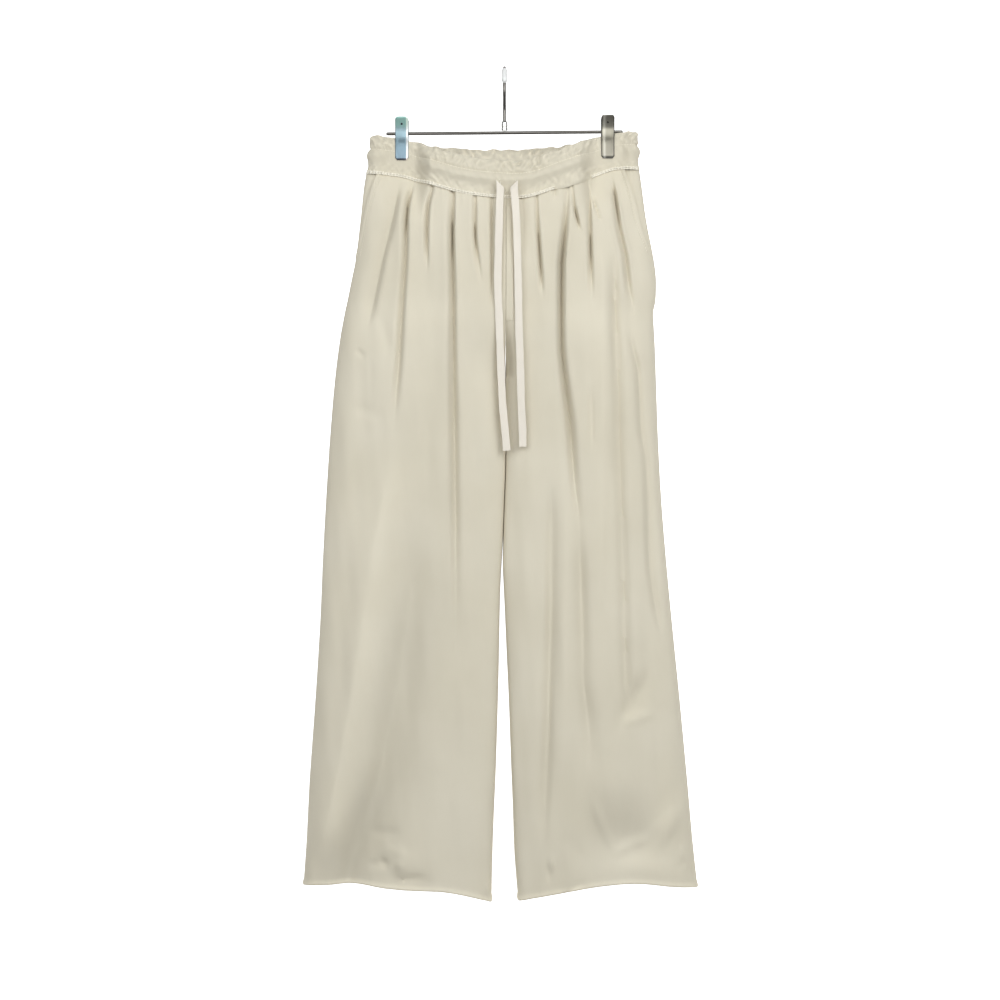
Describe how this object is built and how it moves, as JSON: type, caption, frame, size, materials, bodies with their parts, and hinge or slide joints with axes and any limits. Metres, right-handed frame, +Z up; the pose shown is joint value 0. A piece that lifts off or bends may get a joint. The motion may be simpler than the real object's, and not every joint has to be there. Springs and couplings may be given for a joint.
{
  "type": "wide-leg slacks on a clip hanger",
  "caption": "Wide-leg slacks with a pleated front and a gathered drawstring waist, hung by the waistband from a metal bar hanger with spring clips.",
  "frame": {"origin": "inside top of the hanger's hook, where a rod bears", "axes": "+Z up along the hanging slacks, -Y out of the front of the slacks, +X to the right of someone who looks at the front"},
  "size_m": [0.494, 0.0752, 1.042],
  "materials": {
    "slacks_cloth": "matte ivory cotton twill",
    "drawstring_tape": "pale woven cotton tape",
    "hanger_steel": "plated wire",
    "clip_steel": "polished nickel plate",
    "sleeve_plastic": "milky soft vinyl sleeve"
  },
  "bodies": {
    "root": {"front_left": "slacks_cloth", "front_right": "slacks_cloth", "back_left": "slacks_cloth", "back_right": "slacks_cloth", "pocket_facing_left": "slacks_cloth", "pocket_facing_right": "slacks_cloth", "fly_strip": "slacks_cloth", "waistband_front": "slacks_cloth", "waistband_back": "slacks_cloth", "drawstring_left": "drawstring_tape", "drawstring_right": "drawstring_tape", "hanger_bar": "hanger_steel", "hanger_hook": "hanger_steel", "hanger_ferrule": "hanger_steel", "hook_sleeve": "sleeve_plastic", "clip_left_front": "clip_steel", "clip_left_back": "clip_steel", "clip_left_spring": "hanger_steel", "clip_right_front": "clip_steel", "clip_right_back": "clip_steel", "clip_right_spring": "hanger_steel"}
  },
  "joints": []
}
